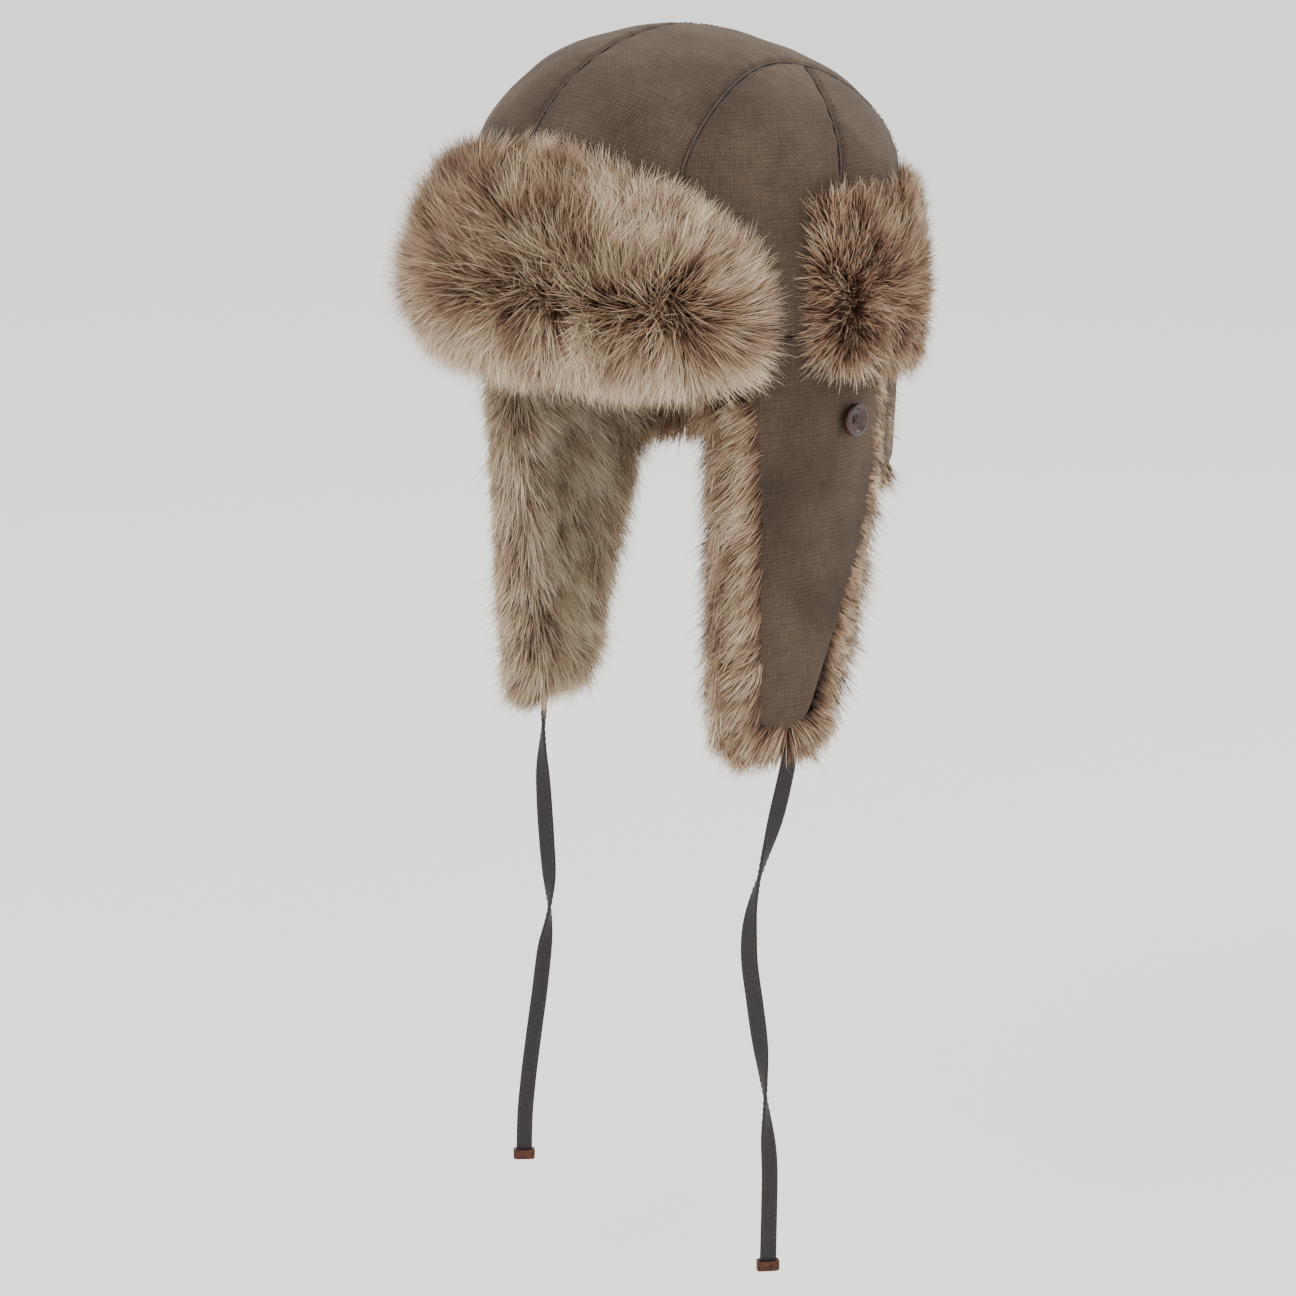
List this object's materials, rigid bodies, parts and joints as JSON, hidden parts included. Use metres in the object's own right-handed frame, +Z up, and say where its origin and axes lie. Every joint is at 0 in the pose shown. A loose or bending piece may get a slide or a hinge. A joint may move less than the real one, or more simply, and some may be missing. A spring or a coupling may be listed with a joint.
{
  "type": "trapper hat",
  "caption": "Winter trapper hat with a six-panel canvas crown, turned-up fur front flap, fur back cuff, and fur-lined ear flaps with buttons and leather chin straps.",
  "frame": {"origin": "centre of the head opening at the height of the front rim", "axes": "+Z up, front of the hat towards -Y, wearer's left towards +X"},
  "size_m": [0.227, 0.2515, 0.583],
  "materials": {
    "waxed_canvas": "brown waxed canvas, plain weave, slightly faded",
    "fur_cuff": "long golden-brown fur with pale tips",
    "fur_lining": "beige fur lining, combed down",
    "satin": "quilted brown satin",
    "felt": "grey felt",
    "horn_button": "dark brown horn, polished rim",
    "thread": "waxed dark brown thread",
    "strap_leather": "black-brown leather, edges creased",
    "clasp_metal": "dark antique brass"
  },
  "bodies": {
    "crown": {"crown_centre_left": "waxed_canvas", "crown_side_front_left": "waxed_canvas", "crown_side_back_left": "waxed_canvas", "side_band_left": "waxed_canvas", "side_band_fur_left": "fur_lining", "crown_lining_left": "satin", "crown_centre_right": "waxed_canvas", "crown_side_front_right": "waxed_canvas", "crown_side_back_right": "waxed_canvas", "side_band_right": "waxed_canvas", "side_band_fur_right": "fur_lining", "crown_lining_right": "satin", "nape_panel": "waxed_canvas", "back_cuff_backing": "waxed_canvas", "back_cuff_fur": "fur_cuff", "nape_fur_lining": "fur_lining", "crown_lining_centre": "satin", "crown_wadding": "felt"},
    "front_flap": {"front_flap_backing": "waxed_canvas", "front_flap_fur": "fur_cuff"},
    "ear_flap_left": {"ear_flap_shell_left": "waxed_canvas", "ear_flap_interlining_left": "felt", "ear_flap_fur_left": "fur_lining", "button_left": "horn_button", "button_thread_left": "thread"},
    "strap_left": {"chin_strap_left": "strap_leather", "strap_clasp_left": "clasp_metal"},
    "ear_flap_right": {"ear_flap_shell_right": "waxed_canvas", "ear_flap_interlining_right": "felt", "ear_flap_fur_right": "fur_lining", "button_right": "horn_button", "button_thread_right": "thread"},
    "strap_right": {"chin_strap_right": "strap_leather", "strap_clasp_right": "clasp_metal"}
  },
  "joints": [
    {"name": "front_flap_fold", "type": "hinge", "parent": "crown", "child": "front_flap", "pos_m": [0, -0.108, 0], "axis": [1, 0, 0], "range_deg": [0, 35]},
    {"name": "ear_flap_left_fold", "type": "hinge", "parent": "crown", "child": "ear_flap_left", "pos_m": [0.1, -0.002, -0.012], "axis": [0, -1, 0], "range_deg": [0, 165]},
    {"name": "strap_left_swing", "type": "hinge", "parent": "ear_flap_left", "child": "strap_left", "pos_m": [0.0819, -0.017, -0.169], "axis": [0, -1, 0], "range_deg": [-165, 0], "deforming": ["chin_strap_left"]},
    {"name": "ear_flap_right_fold", "type": "hinge", "parent": "crown", "child": "ear_flap_right", "pos_m": [-0.1, -0.002, -0.012], "axis": [0, 1, 0], "range_deg": [0, 165]},
    {"name": "strap_right_swing", "type": "hinge", "parent": "ear_flap_right", "child": "strap_right", "pos_m": [-0.0819, -0.017, -0.169], "axis": [0, 1, 0], "range_deg": [-165, 0], "deforming": ["chin_strap_right"]}
  ],
  "couplings": [
    {"joint": "strap_left_swing", "follows": "ear_flap_left_fold", "ratio": -1},
    {"joint": "strap_right_swing", "follows": "ear_flap_right_fold", "ratio": -1}
  ]
}
